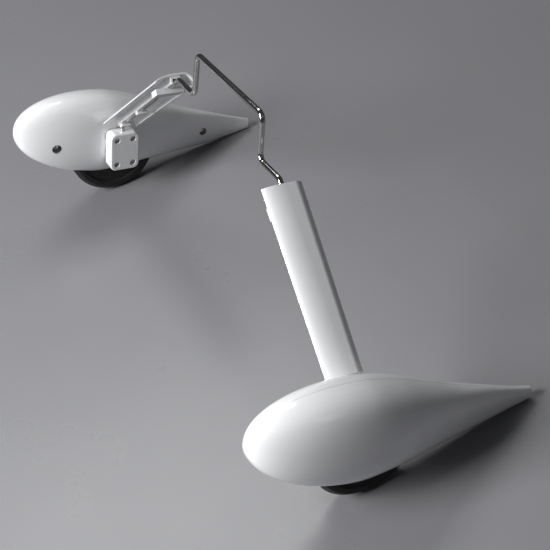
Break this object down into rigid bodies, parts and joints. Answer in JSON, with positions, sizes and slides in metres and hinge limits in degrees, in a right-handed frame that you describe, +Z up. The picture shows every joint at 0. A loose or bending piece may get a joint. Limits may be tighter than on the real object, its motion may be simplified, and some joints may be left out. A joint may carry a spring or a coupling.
{
  "type": "model aircraft landing gear",
  "caption": "Bent spring-wire landing gear for a model aircraft, with faired struts, teardrop wheel pants and free-rolling wheels.",
  "frame": {"origin": "on the ground, midway between the wheels and midway along the object's length, the gear standing on its wheels and on the tails of its pants", "axes": "+X to the rear, +Y to the right-hand side, +Z up"},
  "size_m": [0.1734, 0.402, 0.1586],
  "materials": {
    "white_plastic": "gloss",
    "plated_wire": "polished",
    "tyre_rubber": "matt",
    "hub_plastic": "satin",
    "steel_screws": "satin",
    "collar_brass": "satin"
  },
  "bodies": {
    "gear_frame": {"gear_wire": "plated_wire", "left_pant_outer_half": "white_plastic", "left_pant_inner_half": "white_plastic", "left_pant_screws": "steel_screws", "left_axle_block_base": "white_plastic", "left_axle_block_cover": "white_plastic", "left_axle_block_screws": "steel_screws", "left_strut_fairing": "white_plastic", "left_fairing_bridge": "white_plastic", "left_fairing_clips": "white_plastic", "left_axle_spacer": "hub_plastic", "left_wheel_collar": "collar_brass", "left_collar_grub_screw": "steel_screws", "right_pant_outer_half": "white_plastic", "right_pant_inner_half": "white_plastic", "right_pant_screws": "steel_screws", "right_axle_block_base": "white_plastic", "right_axle_block_cover": "white_plastic", "right_axle_block_screws": "steel_screws", "right_strut_fairing": "white_plastic", "right_fairing_bridge": "white_plastic", "right_fairing_clips": "white_plastic", "right_axle_spacer": "hub_plastic", "right_wheel_collar": "collar_brass", "right_collar_grub_screw": "steel_screws"},
    "left_wheel": {"left_tyre": "tyre_rubber", "left_wheel_hub": "hub_plastic"},
    "right_wheel": {"right_tyre": "tyre_rubber", "right_wheel_hub": "hub_plastic"}
  },
  "joints": [
    {"name": "left_wheel_spin", "type": "hinge", "parent": "gear_frame", "child": "left_wheel", "pos_m": [-0.02202, -0.176, 0.032], "axis": [0, 1, 0], "continuous": true},
    {"name": "right_wheel_spin", "type": "hinge", "parent": "gear_frame", "child": "right_wheel", "pos_m": [-0.02202, 0.176, 0.032], "axis": [0, 1, 0], "continuous": true}
  ]
}
